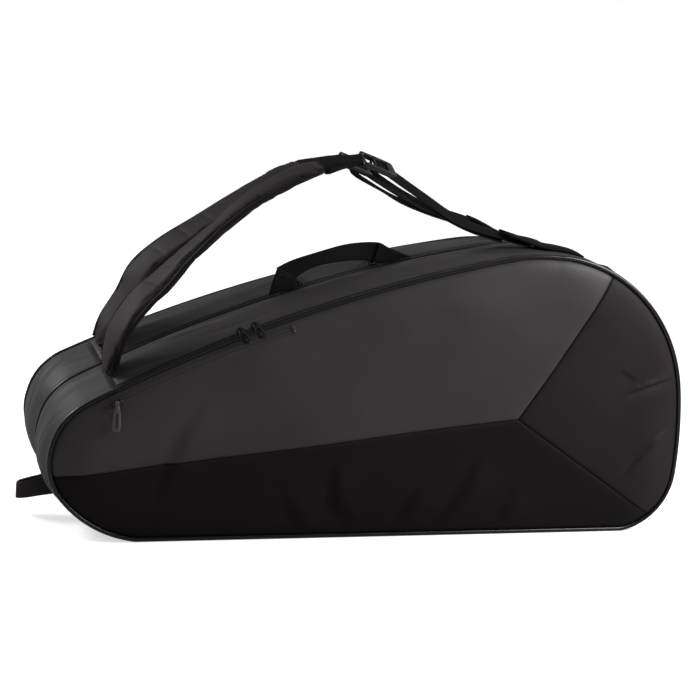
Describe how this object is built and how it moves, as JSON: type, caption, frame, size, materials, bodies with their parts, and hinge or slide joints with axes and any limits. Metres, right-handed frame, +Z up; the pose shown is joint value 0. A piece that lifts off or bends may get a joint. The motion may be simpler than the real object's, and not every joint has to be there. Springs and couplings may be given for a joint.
{
  "type": "racket bag",
  "caption": "Standing two-compartment racket bag with zipped padded covers, a front pocket, a grab handle, an end loop and two padded shoulder straps with ladder-lock buckles.",
  "frame": {"origin": "middle of the base on the floor, between the two compartments", "axes": "+X along the bag towards its tall end, -Y towards the front cover, +Z up"},
  "size_m": [0.7809, 0.2457, 0.4297],
  "materials": {
    "coated_cloth": "coated synthetic cloth with a soft sheen",
    "black_weave": "black woven polyester",
    "dark_weave": "dark fine-woven polyester",
    "gusset_cloth": "padded coated cloth",
    "divider_cloth": "plain woven lining cloth",
    "piping": "satin-covered piping",
    "lining": "plain woven lining",
    "foam": "closed-cell foam",
    "zip_tape": "woven zip tape",
    "zip_coil": "nylon coil",
    "slider_metal": "black lacquered zinc",
    "pull_plastic": "moulded soft plastic",
    "webbing": "ribbed polyester webbing",
    "strap_pad_cloth": "padded woven cloth with a bound edge",
    "buckle_plastic": "moulded acetal",
    "base_board": "polyethylene sheet"
  },
  "bodies": {
    "core": {"divider_panel": "divider_cloth", "mid_piping": "piping", "front_top_gusset": "gusset_cloth", "front_base_gusset": "gusset_cloth", "rear_base_gusset": "gusset_cloth", "front_base_board": "base_board", "rear_base_board": "base_board", "front_zip_gusset_tape": "zip_tape", "rear_zip_seam_tape": "zip_tape", "front_strap_tabs": "webbing"},
    "front_cover": {"front_upper_panel": "coated_cloth", "front_lower_panel": "black_weave", "front_tip_panel": "dark_weave", "front_piping": "piping", "front_padding": "foam", "front_lining": "lining", "front_zip_panel_tape": "zip_tape", "front_zip_coil": "zip_coil", "pocket_zip_tape": "zip_tape", "pocket_zip_coil": "zip_coil"},
    "rear_cover": {"rear_upper_panel": "coated_cloth", "rear_lower_panel": "black_weave", "rear_tip_panel": "dark_weave", "rear_piping": "piping", "rear_padding": "foam", "rear_lining": "lining", "rear_top_gusset": "gusset_cloth", "rear_zip_gusset_tape": "zip_tape", "rear_zip_coil": "zip_coil", "rear_strap_tabs": "webbing"},
    "handle": {"grab_handle": "webbing"},
    "loop": {"end_loop": "webbing"},
    "front_left_slider": {"front_left_slider": "slider_metal"},
    "front_left_pull": {"front_left_pull": "pull_plastic"},
    "front_right_slider": {"front_right_slider": "slider_metal"},
    "front_right_pull": {"front_right_pull": "pull_plastic"},
    "rear_left_slider": {"rear_left_slider": "slider_metal"},
    "rear_left_pull": {"rear_left_pull": "pull_plastic"},
    "rear_right_slider": {"rear_right_slider": "slider_metal"},
    "rear_right_pull": {"rear_right_pull": "pull_plastic"},
    "pocket_slider": {"pocket_slider": "slider_metal"},
    "pocket_pull": {"pocket_pull": "pull_plastic"},
    "front_strap": {"front_strap_pad": "strap_pad_cloth", "front_strap_sleeve": "webbing", "front_ladder_lock": "buckle_plastic", "front_strap_webbing": "webbing"},
    "rear_strap": {"rear_strap_pad": "strap_pad_cloth", "rear_strap_sleeve": "webbing", "rear_ladder_lock": "buckle_plastic", "rear_strap_webbing": "webbing"}
  },
  "joints": [
    {"name": "front_cover_tilt", "type": "hinge", "parent": "core", "child": "front_cover", "pos_m": [0, -0.103, 0.0022], "axis": [1, 0, 0], "range_deg": [0, 12]},
    {"name": "rear_cover_tilt", "type": "hinge", "parent": "core", "child": "rear_cover", "pos_m": [0, 0.103, 0.0022], "axis": [-1, 0, 0], "range_deg": [0, 12]},
    {"name": "front_left_slide", "type": "hinge", "parent": "front_cover", "child": "front_left_slider", "pos_m": [0.49923, -0.096, -1.38806], "axis": [0, -1, 0], "range_deg": [0, 4.23]},
    {"name": "front_right_slide", "type": "hinge", "parent": "front_cover", "child": "front_right_slider", "pos_m": [0.49923, -0.096, -1.38806], "axis": [0, 1, 0], "range_deg": [0, 9.52]},
    {"name": "rear_left_slide", "type": "hinge", "parent": "rear_cover", "child": "rear_left_slider", "pos_m": [0.47793, 0.007, -1.39934], "axis": [0, -1, 0], "range_deg": [0, 6.85]},
    {"name": "rear_right_slide", "type": "hinge", "parent": "rear_cover", "child": "rear_right_slider", "pos_m": [0.47793, 0.007, -1.39934], "axis": [0, 1, 0], "range_deg": [0, 2.7]},
    {"name": "pocket_slide", "type": "hinge", "parent": "front_cover", "child": "pocket_slider", "pos_m": [0.49923, -0.11019, -1.38806], "axis": [0, 1, 0], "range_deg": [0, 6.24]},
    {"name": "front_left_pull_swing", "type": "hinge", "parent": "front_left_slider", "child": "front_left_pull", "pos_m": [-0.16941, -0.096, 0.24364], "axis": [-0.9253, 0, -0.3792], "range_deg": [0, 150]},
    {"name": "front_right_pull_swing", "type": "hinge", "parent": "front_right_slider", "child": "front_right_pull", "pos_m": [-0.15337, -0.096, 0.25012], "axis": [-0.929, 0, -0.3701], "range_deg": [0, 150]},
    {"name": "rear_left_pull_swing", "type": "hinge", "parent": "rear_left_slider", "child": "rear_left_pull", "pos_m": [-0.07702, 0.007, 0.27445], "axis": [0.9492, 0, 0.3147], "range_deg": [0, 50]},
    {"name": "rear_right_pull_swing", "type": "hinge", "parent": "rear_right_slider", "child": "rear_right_pull", "pos_m": [0.0103, 0.007, 0.30092], "axis": [0.9642, 0, 0.2652], "range_deg": [0, 50]},
    {"name": "pocket_pull_swing", "type": "hinge", "parent": "pocket_slider", "child": "pocket_pull", "pos_m": [-0.29527, -0.11627, 0.16983], "axis": [-0.8908, 0, -0.4543], "range_deg": [0, 80]},
    {"name": "handle_flop", "type": "hinge", "parent": "core", "child": "handle", "pos_m": [-0.098, 0, 0.26059], "axis": [0.9575, 0, 0.2885], "range_deg": [-40, 45]},
    {"name": "front_strap_swing", "type": "hinge", "parent": "core", "child": "front_strap", "pos_m": [-0.29144, -0.0515, 0.20686], "axis": [0.96, 0, 0.28], "range_deg": [0, 20]},
    {"name": "rear_strap_swing", "type": "hinge", "parent": "rear_cover", "child": "rear_strap", "pos_m": [-0.2913, 0.0515, 0.20592], "axis": [-0.965, 0, -0.2623], "range_deg": [0, 20]},
    {"name": "end_loop_flop", "type": "hinge", "parent": "core", "child": "loop", "pos_m": [-0.3359, 0, 0.03279], "axis": [-0.7771, 0, 0.6293], "range_deg": [-25, 25]}
  ]
}
